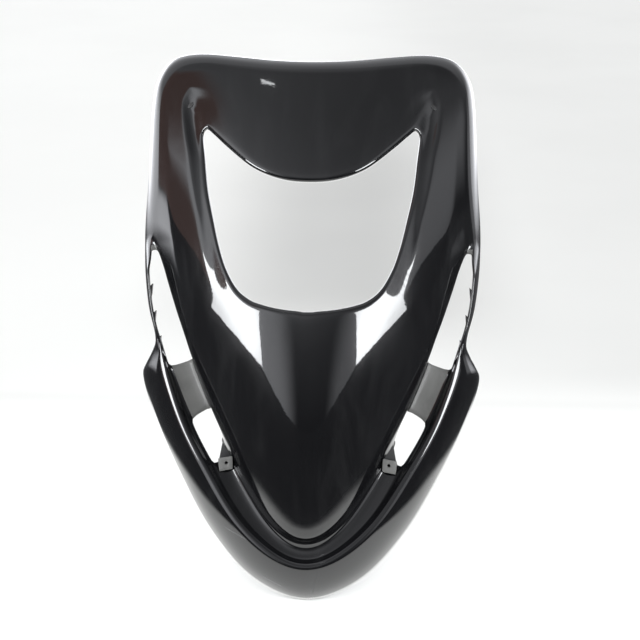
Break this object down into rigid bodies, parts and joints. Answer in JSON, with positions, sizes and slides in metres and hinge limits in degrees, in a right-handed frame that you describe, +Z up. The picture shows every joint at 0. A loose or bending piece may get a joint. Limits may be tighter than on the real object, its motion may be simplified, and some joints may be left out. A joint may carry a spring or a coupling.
{
  "type": "scooter front spoiler panel",
  "caption": "Gloss black front spoiler of a motor scooter: a thin moulded shell with a horned headlight aperture, leaf-shaped side apertures for indicators and a chin below a groove",
  "frame": {"origin": "middle of the bounding box's base, under the chin's rear edge and the upper part that leans back over it", "axes": "+Z up along the panel's greatest length, -Y to the front of the scooter, +X to the right seen from the front; the panel leans back 20 degrees as fitted"},
  "size_m": [0.398, 0.261, 0.5829],
  "materials": {
    "gloss_black": "high gloss painted ABS, bare matt on the back"
  },
  "bodies": {
    "root": {"front_spoiler": "gloss_black"}
  },
  "joints": []
}
